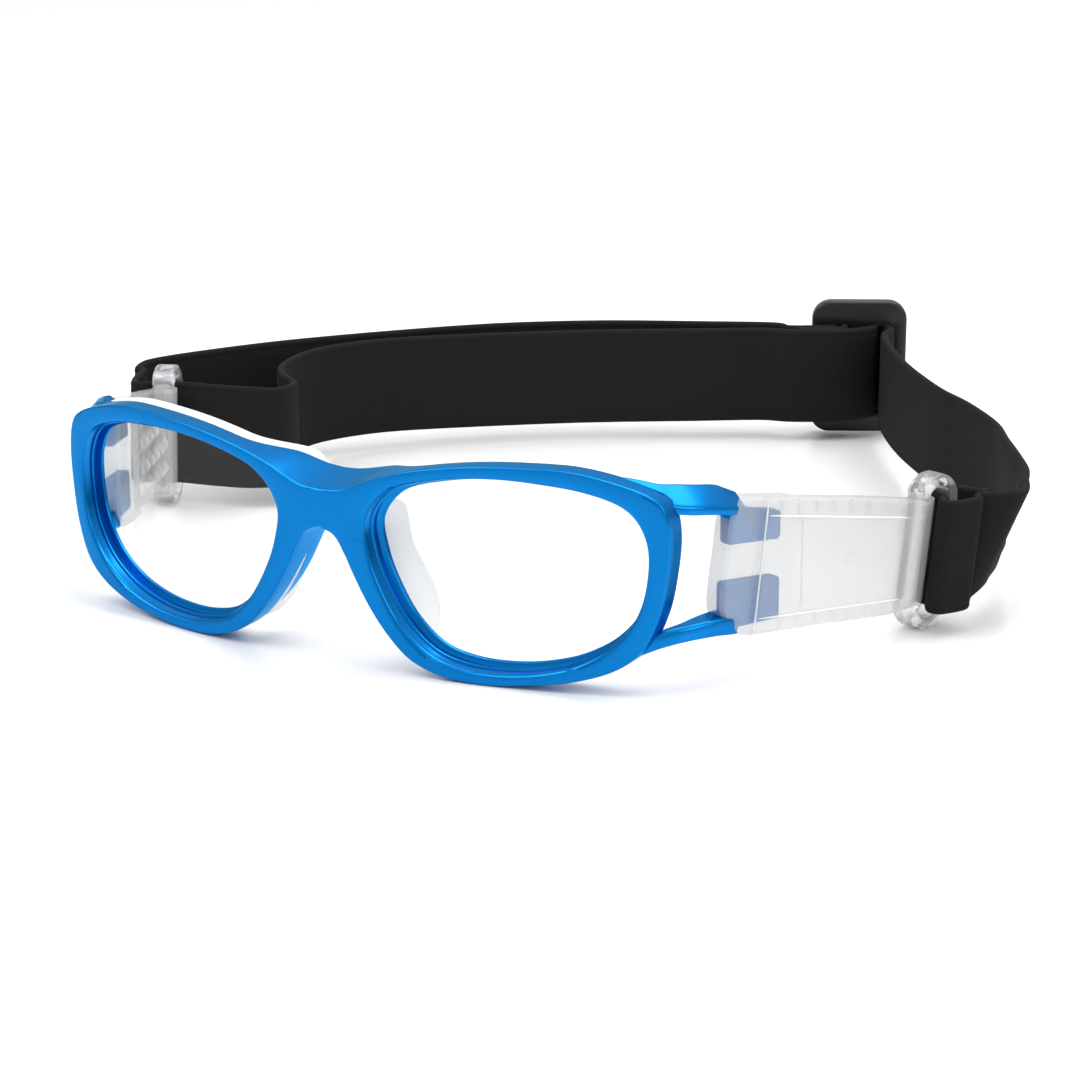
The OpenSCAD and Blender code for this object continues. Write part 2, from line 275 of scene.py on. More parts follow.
def clear_lens():
    """A clear sheet that reflects a little, on its outer faces only."""
    m = bpy.data.materials.new("lens_clear")
    m.use_nodes = True
    nodes, links = m.node_tree.nodes, m.node_tree.links
    nodes.remove(nodes["Principled BSDF"])
    window = nodes.new("ShaderNodeBsdfTransparent")
    gloss = nodes.new("ShaderNodeBsdfGlossy")
    gloss.inputs["Roughness"].default_value = 0.03
    fresnel = nodes.new("ShaderNodeFresnel")
    fresnel.inputs["IOR"].default_value = 1.3
    geometry = nodes.new("ShaderNodeNewGeometry")
    outside = nodes.new("ShaderNodeMath")
    outside.operation = "SUBTRACT"
    outside.use_clamp = True
    mix = nodes.new("ShaderNodeMixShader")
    links.new(fresnel.outputs[0], outside.inputs[0])
    links.new(geometry.outputs["Backfacing"], outside.inputs[1])
    links.new(outside.outputs[0], mix.inputs[0])
    links.new(window.outputs[0], mix.inputs[1])
    links.new(gloss.outputs[0], mix.inputs[2])
    links.new(mix.outputs[0], nodes["Material Output"].inputs["Surface"])
    return m


def webbing():
    """Black elastic: lengthwise ribs and a fine uneven weave, laid out along the strap in millimetres."""
    m = principled("webbing_black", (0.011, 0.011, 0.0115), 0.9, Specular_IOR_Level=0.12)
    nodes, links = m.node_tree.nodes, m.node_tree.links
    uv = nodes.new("ShaderNodeUVMap")
    ribs = nodes.new("ShaderNodeTexWave")
    ribs.bands_direction = "Y"
    ribs.inputs["Scale"].default_value = 0.8
    ribs.inputs["Distortion"].default_value = 0.4
    weave = nodes.new("ShaderNodeTexNoise")
    weave.inputs["Scale"].default_value = 5.0
    weave.inputs["Detail"].default_value = 3.0
    add = nodes.new("ShaderNodeMath")
    links.new(uv.outputs[0], ribs.inputs["Vector"])
    links.new(uv.outputs[0], weave.inputs["Vector"])
    links.new(ribs.outputs["Fac"], add.inputs[0])
    links.new(weave.outputs["Fac"], add.inputs[1])
    add_bump(m, add.outputs[0], 0.2, 0.0001)
    return m


BLUE = blue_plastic()
WHITE = white_silicone()
FROSTED = see_through("temple_frosted", (0.75, 0.76, 0.76), 0.2, 0.57, True)
# Whiter, less see-through plastic for the raised lines: painted highlight along the temple panel's edges.
EDGE_PAINTED_HIGHLIGHT = see_through("temple_edge", (0.95, 0.95, 0.95), 0.2, 0.4, False)
CLEAR = ring_plastic()
LENS = clear_lens()
WEB = webbing()
THREAD = principled("thread_dark", (0.011, 0.011, 0.0115), 0.9, Specular_IOR_Level=0.12)
BLACK = principled("buckle_black", (0.009, 0.009, 0.01), 0.32, Specular_IOR_Level=0.35)


# ---- front frame ----

EYE = np.array([33.0, 18.5])
OPENING = curve([(8.9, 26), (9.5, 19.7), (12, 13.6), (15.5, 8.2), (20.5, 4), (26.5, 2.3), (33, 2.1),
                 (39.2, 2.9), (45.2, 4.8), (50.8, 8.4), (54.6, 13.6), (56.2, 20), (56, 26.5), (53, 31.4),
                 (46.5, 33.9), (38, 34.9), (30.5, 35), (22, 34), (13.4, 31.4)], 12, True)
OUTLINE = curve([(0, 30.1), (3.4, 30.4), (7, 31.5), (10.6, 33.1), (14.6, 34.5), (19.5, 35.7), (27, 36.9),
                 (35.3, 37.5), (44.3, 37.4), (52.6, 35.6), (57.6, 33.4), (59.4, 30.6), (59.9, 26),
                 (59.4, 20), (58.2, 13.6), (55.6, 7.8), (51, 4.1), (44, 1.7), (37, 0.6), (32, 0.05),
                 (27, 0.05), (22, 0.7), (16.8, 2.8), (12.7, 6.6), (9.4, 11), (6.9, 15.3), (4.7, 19.6),
                 (2.8, 22.4), (0, 23.6)], 8)
SEAM_STEPS = 8


def normals(loop, closed):
    """Outward directions of a counter-clockwise loop."""
    if closed:
        d = np.roll(loop, -1, 0) - np.roll(loop, 1, 0)
    else:
        d = np.gradient(loop, axis=0)
    d = d / np.linalg.norm(d, axis=1)[:, None]
    return np.stack([d[:, 1], -d[:, 0]], 1)


def matched_loops():
    """The left eye's opening and outline, point against point as seen from the middle of the lens, and how
    many points lie on the outline; the rest lie on the plane of symmetry."""
    outline = OUTLINE[::-1]                                   # counter-clockwise, from the bridge's underside
    seam_heights = np.linspace(OUTLINE[0][1], OUTLINE[-1][1], SEAM_STEPS + 2)[1:-1]
    seam = np.stack([np.zeros(SEAM_STEPS), seam_heights], 1)
    outer = np.concatenate([outline, seam])
    angle = np.unwrap(np.arctan2(*(outer - EYE).T[::-1]))
    own = np.unwrap(np.arctan2(*(OPENING - EYE).T[::-1]))
    own3 = np.concatenate([own - 2 * math.pi, own, own + 2 * math.pi])
    reach = np.tile(np.linalg.norm(OPENING - EYE, axis=1), 3)
    r = np.interp(angle, own3, reach)
    inner = EYE + r[:, None] * np.stack([np.cos(angle), np.sin(angle)], 1)
    return inner, outer, len(outline)


INNER, OUTER, ON_OUTLINE = matched_loops()
INNER_OUT = normals(INNER, True)
OUTER_OUT = np.concatenate([normals(OUTER[:ON_OUTLINE], False), np.zeros((len(OUTER) - ON_OUTLINE, 2))])
OUTER_OUT[0] = (0, -1)
OUTER_OUT[ON_OUTLINE - 1] = (0, 1)


def wall_depth(x):
    """Depth of the frame's outer wall: deeper towards the bridge."""
    return RIM_DEPTH + (BRIDGE_DEPTH - RIM_DEPTH) * smooth((19 - abs(x)) / 12)


def top_rise(p, depth):
    """How far the wall's top rises towards the rear over the bridge."""
    if p[1] < 27:
        return 0.0
    return 1.7 * depth / BRIDGE_DEPTH * smooth((17 - abs(p[0])) / 14)


# From the lens seat out over the front face and round to the back: (edge, offset, depth).
LENS_SEAT = [(-0.95, 5.2), (-0.95, 4.75), (-0.8, 4.5), (-0.25, 4.35), (0.02, 4.2), (0.05, 3.9),
             (0.05, 3.1), (-0.05, 2.95), (-0.32, 2.85), (-0.36, 2.65), (-0.28, 2.45), (0.02, 2.35),
             (0.06, 2.2), (0.06, 0.9), (0.08, 0.5), (0.2, 0.22), (0.4, 0.08)]
FACE = [(0.16, 0.02), (0.35, -0.04), (0.6, -0.05), (0.85, -0.02), (0.93, 0.0)]
EDGE = [(0.24, 0.03), (0.12, 0.09), (0.03, 0.2), (0.0, 0.4)]
COLLAR_RISE = 2.2
COLLAR = [(2.3, 0.0), (2.05, 0.15), (1.95, 0.5), (1.9, 1.8), (1.7, 2.15), (1.4, COLLAR_RISE),
          (1.1, COLLAR_RISE), (1.0, 1.7), (1.0, 0.9)]


def frame_half(side):
    """Vertices and faces of the frame round one eye."""
    n = len(INNER)
    rows = []
    for offset, depth in LENS_SEAT:
        rows.append([wrapped(*(p + offset * q), depth) for p, q in zip(INNER, INNER_OUT)])
    for share, depth in FACE:
        rows.append([wrapped(*(a * (1 - share) + b * share), depth) for a, b in zip(INNER, OUTER)])
    front_end = len(rows)
    for inset, depth in EDGE:
        rows.append([wrapped(*(p - inset * q), depth if i < ON_OUTLINE else 0.0)
                     for i, (p, q) in enumerate(zip(OUTER, OUTER_OUT))])
    for share in (0.35, 0.7, 0.93):
        rows.append([wrapped(p[0], p[1] + top_rise(p, share * wall_depth(p[0])), share * wall_depth(p[0]))
                     for p in OUTER])
    for inset, back in ((0.12, 0.12), (0.45, 0.0)):
        rows.append([wrapped(*(p - inset * q + (0, top_rise(p, wall_depth(p[0])))), wall_depth(p[0]) - back)
                     for p, q in zip(OUTER, OUTER_OUT)])
    wall_end = len(rows)
    for offset, more in COLLAR:
        start = [max(RIM_DEPTH, min(wall_depth(o[0]), COLLAR_DEPTH - 0.2)) for o in OUTER]
        rows.append([wrapped(*(p + min(offset, 0.8 * np.linalg.norm(o - p)) * q),
                             d + (COLLAR_DEPTH - d) * more / COLLAR_RISE)
                     for p, q, o, d in zip(INNER, INNER_OUT, OUTER, start)])
    faces = []
    for i in range(len(rows)):
        j = (i + 1) % len(rows)
        for k in range(n):
            m = (k + 1) % n
            on_seam = k >= ON_OUTLINE - 1
            if on_seam and front_end <= i < wall_end - 1:
                continue
            faces.append((i * n + k, i * n + m, j * n + m, j * n + k))
    return [(side * p[0], p[1], p[2]) for loop in rows for p in loop], faces


# Stations of each arm, from inside the rim to the temple: outer face in plan, thickness, underside,
# crease on the outer face, and top of the inner face.
UPPER_ARM = [(51.5, 10.4, 2.2, 33.6, 34.8, 36.1), (54.6, 11.3, 2.6, 32.4, 33.9, 35.6),
             (57.2, 12.5, 3.0, 31.2, 32.8, 35.0), (59.2, 14.2, 3.6, 30.4, 31.9, 34.7),
             (61.1, 16.5, 3.8, 29.9, 31.4, 34.4), (62.6, 19.1, 3.8, 29.5, 31.0, 34.0),
             (63.8, 21.9, 3.8, 29.0, 30.4, 33.6), (64.6, 24.4, 3.8, 28.5, 29.9, 33.0),
             (64.9, 26.2, 3.4, 28.2, 29.5, 32.3), (65.1, 28.0, 3.0, 28.1, 29.2, 31.5)]
LOWER_ARM = [(52.6, 10.6, 2.4, 5.7, 8.2, 8.6), (55.0, 11.3, 2.8, 6.7, 9.4, 9.5),
             (57.3, 12.5, 3.3, 7.7, 10.2, 9.9), (59.3, 14.2, 3.8, 8.3, 10.7, 10.3),
             (61.1, 16.5, 3.8, 8.6, 11.0, 10.8), (62.6, 19.1, 3.8, 8.6, 11.1, 11.4),
             (63.8, 21.9, 3.8, 8.4, 11.1, 11.7), (64.6, 24.4, 3.8, 8.0, 10.8, 11.6),
             (64.8, 26.2, 3.6, 7.7, 10.5, 11.2)]
LUG_OUTER, LUG_THICKNESS = -1.3, 2.6         # outer face from the temple's outer face, and thickness
LUG_END = 11.0


def arm(stations, side):
    """One arm: a bar with a slanted facet above the crease."""
    path = curve(stations, 4)
    loops = []
    for i, (x, y, thick, low, crease, top) in enumerate(path):
        a, b = path[max(i - 1, 0)], path[min(i + 1, len(path) - 1)]
        d = (b - a)[:2] / np.linalg.norm((b - a)[:2])
        inward = np.array([-d[1], d[0]])
        section = [(0.5, low), (0.1, low + 0.15), (0, low + 0.5), (0, crease - 0.35), (0.12, crease),
                   (0.5, crease + 0.3), (thick - 0.9, top - 0.12), (thick - 0.3, top), (thick, top - 0.4),
                   (thick, low + 0.4), (thick - 0.4, low)]
        loops.append([row(side * (x + u * inward[0]), y + u * inward[1], z) for u, z in section])
    return tube(loops)


def lug(side, start, front, rear):
    """A rounded lug inside a temple, the (bottom, top) of its front end and of its rear end given."""
    loops = []
    stations = [(start, front, 0.4), (start + 0.4, front, 0.0),
                (LUG_END - 0.6, rear, 0.0), (LUG_END, rear, 0.5)]
    for along, (z0, z1), shrink in stations:
        loops.append([temple_point(along, LUG_OUTER - LUG_THICKNESS / 2 + u, (z0 + z1) / 2 + v, side)
                      for u, v in rounded(LUG_THICKNESS - shrink, z1 - z0 - shrink, 0.5)])
    return tube(loops)


def build_frame():
    """The blue moulding: both rims, the arms and the lugs."""
    parts = []
    for side in (1, -1):
        parts.append(frame_half(side))
        parts.append(arm(UPPER_ARM, side))
        parts.append(arm(LOWER_ARM, side))
        parts.append(lug(side, -0.3, (23.2, 29.4), (22.4, 27.4)))
        parts.append(lug(side, -0.9, (8.8, 16.8), (8.6, 16)))
    obj = joined("frame_shell", parts, BLUE, 38)
    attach(obj, "front")
    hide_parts("frame_front")


def build_lenses():
    """Thin clear panes that end inside the groove."""
    for side, word in ((1, "left"), (-1, "right")):
        rim = OPENING + 0.9 * normals(OPENING, True)
        loops = []
        for depth, shares in ((COLLAR_DEPTH - LENS_THICKNESS + 0.6, (0.02, 0.3, 0.6, 0.85, 0.99)),
                              (COLLAR_DEPTH - 0.1, (0.99, 0.85, 0.6, 0.3, 0.02))):
            for share in shares:
                loops.append([wrapped(*(EYE + share * (p - EYE)), depth) for p in rim[::2]])
        loops = [[(side * p[0], p[1], p[2]) for p in loop] for loop in loops]
        obj = make("lens_pane_" + word, *tube(loops), LENS)
        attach(obj, "front")
        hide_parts("lens_" + word)


# ---- white brow strip and nose pads ----

def brow_half(side):
    """Half of the soft strip behind the brow, thinning out towards the bridge and the temple."""
    loops = []
    for p, q in zip(OUTER[:ON_OUTLINE], OUTER_OUT[:ON_OUTLINE]):
        if p[1] < 29.9:
            continue
        taper = min(smooth((p[1] - 29.6) / 2.4), smooth((58.2 - p[0]) / 4))
        start = wall_depth(p[0]) + 0.05
        end = start + 0.5 + 2.5 * taper
        inset = 0.9 - 0.8 * taper
        loop = []
        for u, v in rounded(end - start, 2.2, 0.24):
            x, z = p - q * (inset + 1.1 - v)
            loop.append(wrapped(x, z + top_rise(p, start), (start + end) / 2 + u))
        loops.append([(side * a, b, c) for a, b, c in loop])
    return tube(loops)


# Sections of a nose pad from top to bottom: height, root in plan behind the rim, rear edge in plan.
PAD = [(27.4, 9.2, 7.6, 9.4, 9.4), (26.2, 8.4, 6.4, 9.6, 11.6), (23, 6.8, 5.6, 9.9, 12.6),
       (19, 5.9, 5.0, 10.6, 12.9), (14.5, 7.8, 4.8, 12.2, 14.3), (10.5, 10.2, 4.9, 13.6, 15.0),
       (7.5, 12.5, 5.0, 14.5, 14.4), (5.2, 14.8, 5.2, 15.2, 12.4), (4.1, 16.2, 5.6, 15.8, 9.8)]
PAD_THICKNESS = 1.5
PAD_BULGE = 0.7


def nose_wing(side):
    """A thin curved pad, bulging towards the nose."""
    loops = []
    for z, x0, y0, x1, y1 in curve(PAD, 6):
        a, b = np.array([x0, y0]), np.array([x1, y1])
        length = np.linalg.norm(b - a)
        d = (b - a) / length
        n = np.array([d[1], -d[0]])
        middle = (a + b) / 2
        loop = []
        for u, v in rounded(length, PAD_THICKNESS, 0.7):
            bulge = PAD_BULGE * math.cos(math.pi * u / length)
            point = middle + d * u + n * (v - bulge)
            loop.append(row(side * point[0], point[1], z))
        loops.append(loop)
    return tube(loops)


def build_soft_trim():
    """The white parts behind the frame."""
    brow = joined("brow_strip", [brow_half(side) for side in (1, -1)], WHITE)
    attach(brow, "front")
    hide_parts("brow_liner")
    for side, word in ((1, "left"), (-1, "right")):
        pad = make("nose_wing_" + word, *nose_wing(side), WHITE)
        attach(pad, "front")
        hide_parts("nose_pad_" + word)


# ---- temples ----

# Side view of a temple, (along, up).
TEMPLE_FRONT = curve([(2.3, 7.4), (-0.1, 9.1), (-2.2, 12.2), (-2, 17), (-1.2, 22), (-0.6, 26.5), (0.6, 29.4),
                      (3.6, 30.7)], 8)
TEMPLE_TOP = curve([(3.6, 30.7), (6.6, 30.3), (10.7, 29.6), (16, 28.8), (24, 27.3), (32, 25.8), (39.8, 24.2),
                    (43.4, 23.4), (46.8, 23.2)], 8)
TEMPLE_LOW = curve([(2.3, 7.4), (6, 6.9), (12, 6.4), (20, 5.8), (30, 4.8), (37.5, 4.3), (41, 4.7),
                    (44.3, 4.9)], 8)
TEMPLE_REAR = np.array([TEMPLE_LOW[-1], TEMPLE_TOP[-1]])
TEMPLE_LENGTH, TEMPLE_HEIGHT = 47.0, 21.0
LIP = TEMPLE_THICKNESS / 2                   # radius of the rear edge, round the swivel bar
BAND_TOP = [(6.7, 27.4), (40.5, 21.0)]       # lines that edge the panel above and below
BAND_LOW = [(4.7, 10.0), (37.8, 7.0)]
STEP_AT, STEP_SLOPE, STEP_FOOT = 3.7, 0.127, 7.5     # the panel's upright front edge
INNER_FACE = -3.4
KNOB_PITCH = (3.8, 4.6)                      # soft knobs inside the temple, along and up


def along_curve(c, t):
    """The point at a share t of a curve's length."""
    length = np.concatenate([[0], np.cumsum(np.linalg.norm(np.diff(c, axis=0), axis=1))])
    return np.array([np.interp(t * length[-1], length, c[:, 0]), np.interp(t * length[-1], length, c[:, 1])])


def patch(u, v):
    """A point of the temple's side view: u from front to rear, v from bottom to top."""
    low, top = along_curve(TEMPLE_LOW, u), along_curve(TEMPLE_TOP, u)
    front, rear = along_curve(TEMPLE_FRONT, v), TEMPLE_REAR[0] * (1 - v) + TEMPLE_REAR[1] * v
    corners = ((1 - u) * (1 - v) * TEMPLE_LOW[0] + u * (1 - v) * TEMPLE_LOW[-1]
               + (1 - u) * v * TEMPLE_TOP[0] + u * v * TEMPLE_TOP[-1])
    return (1 - v) * low + v * top + (1 - u) * front + u * rear - corners


def line_height(line, s):
    """Height of a straight line of the side view."""
    (s0, z0), (s1, z1) = line
    return z0 + (z1 - z0) * (s - s0) / (s1 - s0)


def relief(s, z):
    """How far the outer face stands out at a point of the side view."""
    edge = STEP_AT + (z - STEP_FOOT) * STEP_SLOPE
    out = -0.75 * (1 - smooth((s - edge + 0.4) / 0.5))
    if s > edge:
        out += 0.35 * (1 - smooth(abs(s - edge - 0.5) / 0.45))
        for line, sign in ((BAND_TOP, 1), (BAND_LOW, -1)):
            beyond = sign * (z - line_height(line, s))
            out -= 0.38 * smooth((beyond + 0.15) / 0.3)
            tick = abs((s - 8) % 4 - 2)
            if 0.4 < beyond < 2.6 and tick < 0.35 and 9 < s < 38:
                out -= 0.28
    if 24.8 < s < 28 and 14.9 < z < 17.5:
        out -= 0.25
    return out


def temple_faces(s, z, to_edge):
    """Outer and inner offsets of the temple at a point of its side view."""
    q = s - (z - PIN_HEIGHT) * math.tan(LEAN) - PIN_AT
    rim = 0.55 * (1 - smooth(to_edge / 0.7))
    if q > 0:
        reach = math.sqrt(max(LIP ** 2 - q * q, 0.0))
        return -LIP + reach * (1 - 0.1 * rim), -LIP - reach
    lip = 0.25 * (1 - smooth(abs(q + 0.9) / 0.9))
    outer = relief(s, z) * smooth(-q / 1.5) - rim + lip
    inner = INNER_FACE
    if q > -LIP:
        inner = min(inner, -LIP - math.sqrt(LIP ** 2 - q * q))
    if s < FLEX_AT:
        inner = -TEMPLE_THICKNESS + 1.8 * smooth((s - FLEX_AT + 2.5) / 2.5)
    if 18 < s < 38.6 and 8.5 < z < 24.5 - 0.2 * (s - 18):
        knob = ((1 + math.cos((s - 18) * 2 * math.pi / KNOB_PITCH[0]))
                * (1 + math.cos(z * 2 * math.pi / KNOB_PITCH[1])) / 4)
        inner = -4.0 - 1.1 * knob * smooth((s - 18) / 1.0)
    return outer, inner + rim


def spaced(count, length):
    """Shares from 0 to 1, closer together near both ends."""
    near = [d / length for d in (0, 0.1, 0.25, 0.45, 0.75)]
    middle = np.linspace(near[-1], 1 - near[-1], count)[1:-1]
    return near + list(middle) + [1 - d for d in near[::-1]]


def build_temple(side, word):
    """A temple: an outer and an inner face over a grid of its side view, and the edges between them."""
    us, vs = spaced(150, TEMPLE_LENGTH), spaced(52, TEMPLE_HEIGHT)
    nu, nv = len(us), len(vs)
    outer, inner = [], []
    for u in us:
        for v in vs:
            s, z = patch(u, v)
            from_rear = (1 - u) * TEMPLE_LENGTH + 3 if u < 0.97 else 3.0
            to_edge = min(u * TEMPLE_LENGTH, from_rear, v * TEMPLE_HEIGHT, (1 - v) * TEMPLE_HEIGHT)
            o, i = temple_faces(s, z, to_edge)
            outer.append(temple_point(s, o, z, side))
            inner.append(temple_point(s, i, z, side))
    verts = outer + inner
    base = nu * nv
    faces = []
    for a in range(nu - 1):
        for b in range(nv - 1):
            k = a * nv + b
            faces.append((k, k + nv, k + nv + 1, k + 1))
            faces.append((base + k, base + k + 1, base + k + nv + 1, base + k + nv))
    for a in range(nu - 1):
        for k in (a * nv, a * nv + nv - 1):
            faces.append((k, k + nv, base + k + nv, base + k))
    for b in range(nv - 1):
        for k in (b, (nu - 1) * nv + b):
            faces.append((k, k + 1, base + k + 1, base + k))
    obj = make("temple_moulding_" + word, verts, faces, FROSTED, 50)
    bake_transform(obj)
    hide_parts("temple_socket_" + word, "temple_" + word, "temple_pad_" + word)


def bead(points, upright_line):
    """A thin round bead along points (along, up) of a temple's outer face, tapered at both ends."""
    base = 0.2 if upright_line else 0.0
    rings = []
    for i, (s, z) in enumerate(points):
        r = 0.06 if i in (0, len(points) - 1) else 0.17
        around = [(r * math.cos(k * math.pi / 4), r * math.sin(k * math.pi / 4)) for k in range(8)]
        rings.append([(s + v, base + u, z) if upright_line else (s, base + u, z + v) for u, v in around])
    return rings


def build_temple_edges(side, word):
    """Raised lines round the temple's panel, whiter than the temple as painted highlight along its edges."""
    step = [(STEP_AT + 0.2 + (z - STEP_FOOT) * STEP_SLOPE, z) for z in np.linspace(8.2, 29.6, 12)]
    beads = [bead(step, True)]
    for line, first, last in ((BAND_TOP, 7.2, 39.5), (BAND_LOW, 5.2, 37.2)):
        beads.append(bead([(s, line_height(line, s)) for s in np.linspace(first, last, 16)], False))
    parts = [tube([[temple_point(*p, side) for p in ring] for ring in rings]) for rings in beads]
    obj = joined("temple_edges_" + word, parts, EDGE_PAINTED_HIGHLIGHT)
    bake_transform(obj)


# ---- strap rings ----

RING_BAR = 2.2                               # thickness of the flat bars
SWIVEL_BAR = 3.2                             # diameter of the round bar in the temple
RING_DEPTH = 6.9                             # between the middles of the front and rear bars
FRONT_BAR_AHEAD = 0.5                        # how far the front bar's path lies ahead of the swivel axis


def build_ring(side, word):
    """A ring of flat bars, whose front bar is round inside the temple."""
    middle = RING_DEPTH / 2 - FRONT_BAR_AHEAD
    path = rounded(RING_DEPTH, RING_HEIGHT - RING_BAR, 3.4, 10)
    loops = []
    for i, (x, z) in enumerate(path):
        a, b = path[i - 1], path[(i + 1) % len(path)]
        d = Vector((b[0] - a[0], b[1] - a[1])).normalized()
        out = (d[1], -d[0])
        round_bar = smooth((10.4 - abs(z)) / 1.5) if x < 0 else 0.0
        wide = RING_WIDTH + (SWIVEL_BAR - RING_WIDTH) * round_bar
        thick = RING_BAR + (SWIVEL_BAR - RING_BAR) * round_bar
        loops.append([ring_point(middle + x + out[0] * u, v, z + out[1] * u, side)
                      for u, v in rounded(thick, wide, 0.8 + 0.7 * round_bar)])
    obj = make("ring_loop_" + word, *tube(loops, True), CLEAR, 60)
    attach(obj, "ring_" + word)
    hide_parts("strap_ring_" + word)


# ---- strap ----

def web_profile():
    """Cross-section of the webbing, (across the thickness, along the width), with a firm edge."""
    h, w = WEB_HALF, WEB_WIDTH / 2
    side = [(h, -w + 1.6), (h - 0.08, -w + 1.35), (h, -w + 1.1), (h + 0.02, -w + 0.7), (h * 0.8, -w + 0.25),
            (h * 0.35, -w)]
    right = [(a, -b) for a, b in side]
    flat = [(h, b) for b in np.linspace(-w + 3, w - 3, 6)]
    up = side[::-1] + flat + right
    return up + [(-a, b) for a, b in up[::-1]]


STEPS = 8


def web_strip(points):
    """Cross-sections of webbing along points (x, y, height of its middle, lean in x, lean in y), and the
    length run at each; the lean is how far the upper edge stands over per unit of width."""
    path = curve(points, STEPS)
    loops, run = [], [0.0]
    for i, (x, y, z, sx, sy) in enumerate(path):
        a, b = path[max(i - 1, 0)], path[min(i + 1, len(path) - 1)]
        d = (b - a)[:3] / np.linalg.norm((b - a)[:3])
        up = np.array([sx, sy, 1.0]) / math.sqrt(1 + sx * sx + sy * sy)
        out = np.cross(d, up)
        out /= np.linalg.norm(out)
        if i:
            run.append(run[-1] + np.linalg.norm(path[i][:3] - path[i - 1][:3]))
        loops.append([row(*(np.array([x, y, z]) + out * u + up * v)) for u, v in web_profile()])
    return loops, run


def web_piece(name, strip, first, last, node):
    """The part of a strip between two of its points."""
    loops, run = strip
    start, end = first * STEPS, last * STEPS + 1
    verts, faces = tube(loops[start:end])
    obj = make(name, verts, faces, WEB, 40, False)
    layer = obj.data.uv_layers.new(name="length_width")
    profile = web_profile()
    for corner in obj.data.loops:
        section, k = divmod(corner.vertex_index, len(profile))
        layer.data[corner.index].uv = (run[start + section], profile[k][1])
    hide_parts(node)
    return obj


def by_temple(points, side, rise=0.0, lean=0.0):
    """Points given along and outward beside a temple, as webbing points that lean with the ring; past the
    ring the webbing rises and leans over by as much as is given."""
    out = []
    tilt = math.tan(LEAN)
    for s, t in points:
        x, y = HOOK + s * ALONG + t * OUTWARD
        turning = smooth((s - 50.5) / 6.5)
        out.append((side * x, y, WEB_MIDDLE + rise * turning, side * ALONG[0] * tilt + lean * turning,
                    ALONG[1] * tilt))
    return out


def upright(points):
    """Points in plan as webbing points that stand upright."""
    return [(x, y, WEB_MIDDLE, 0.0, 0.0) for x, y in points]


def by_glide(points):
    """Points beside the tri-glide as webbing points."""
    return upright([tuple(glide_plan(a, b)) for a, b in points])


# Plan paths of the webbing's middle. The loops are given beside a temple, and the runs from the front of
# the bridge.
LOOP_LEFT = [(53.8, 1.7), (53.1, 0.3), (52.5, -1.6), (52, -3.6), (51.1, -5.9), (48.9, -6.7),
             (47.1, -5.2), (46.75, -2.4), (46.5, -0.2), (45.2, 0.7), (44.1, 2.1), (44.6, 3.7), (46.4, 4.3),
             (48.6, 4.6), (50.1, 4.5), (50.9, 3.7), (51.4, 2.8), (52.3, 2.7), (53.6, 3.4), (55, 3.8),
             (56.2, 3.9)]
RISE_LEFT, LEAN_LEFT = 0.7, 0.3
# x, y, height, and lean of the single run where it turns back
TURN = [(90.6, 76.6, 14.6, 0.38, 0.19), (89.9, 80.4, 14.6, 0.36, 0.17), (88.6, 84.3, 14.6, 0.32, 0.15),
        (86.8, 90.6, 14.5, 0.26, 0.12), (83.2, 99, 14.3, 0.14, 0.07)]
SINGLE = [(78.6, 109.3), (72.3, 119.6), (62.6, 130.4), (53.6, 138.4), (43.2, 150), (35.4, 160), (28.4, 170.6),
          (24.4, 178)]
LOOP_RIGHT = [(56.8, 4.9), (52.4, 4.8), (47.4, 4.4), (45.4, 3.4), (45.6, 1.6), (46.75, -0.4), (46.75, -2.4),
              (46.4, -5.2), (45.6, -8.9), (44.6, -13.9), (44, -18.8)]
OUTER_LAYER = [(-93.6, 76.6), (-95.1, 80.6), (-94.6, 84.6), (-91.6, 91.6), (-86.4, 101.2), (-79.2, 112.5),
               (-65.4, 129.9), (-50.4, 145.9), (-33, 158.8), (-14, 168.6), (0, 175.2)]
INNER_LAYER = [(-60.2, 74.4), (-58.4, 77.6), (-59.6, 81.8), (-65.2, 86.4), (-69, 91.2), (-71.2, 99),
               (-71, 107.6), (-66.4, 117.8), (-59, 126.4), (-42.2, 140.6), (-28.6, 150.8),
               (-10.8, 162.2), (0, 169.2)]
WEAVE = [(6.4, -5), (6, -2.2), (5.5, 0), (5, 2.4), (2.9, 4.7), (0, 5.1), (-2.9, 4.5), (-4.9, 2.3), (-5.4, 0),
         (-5.5, -1.6), (-7, -2.9), (-10, -2.9), (-15, -2.9)]
SEWN = [(-15, -6.9), (-9, -6.9), (-4.5, -6.5), (-0.4, -4.9), (2.2, -3.2), (3.1, -1.4), (3.1, 1.2),
        (2.4, 2.6), (0, 3), (-2.4, 2.6), (-3.1, 1.2), (-3.1, -1.2), (-3.4, -2.8), (-4.9, -4.3), (-7, -4.9),
        (-9, -5), (-13, -5)]


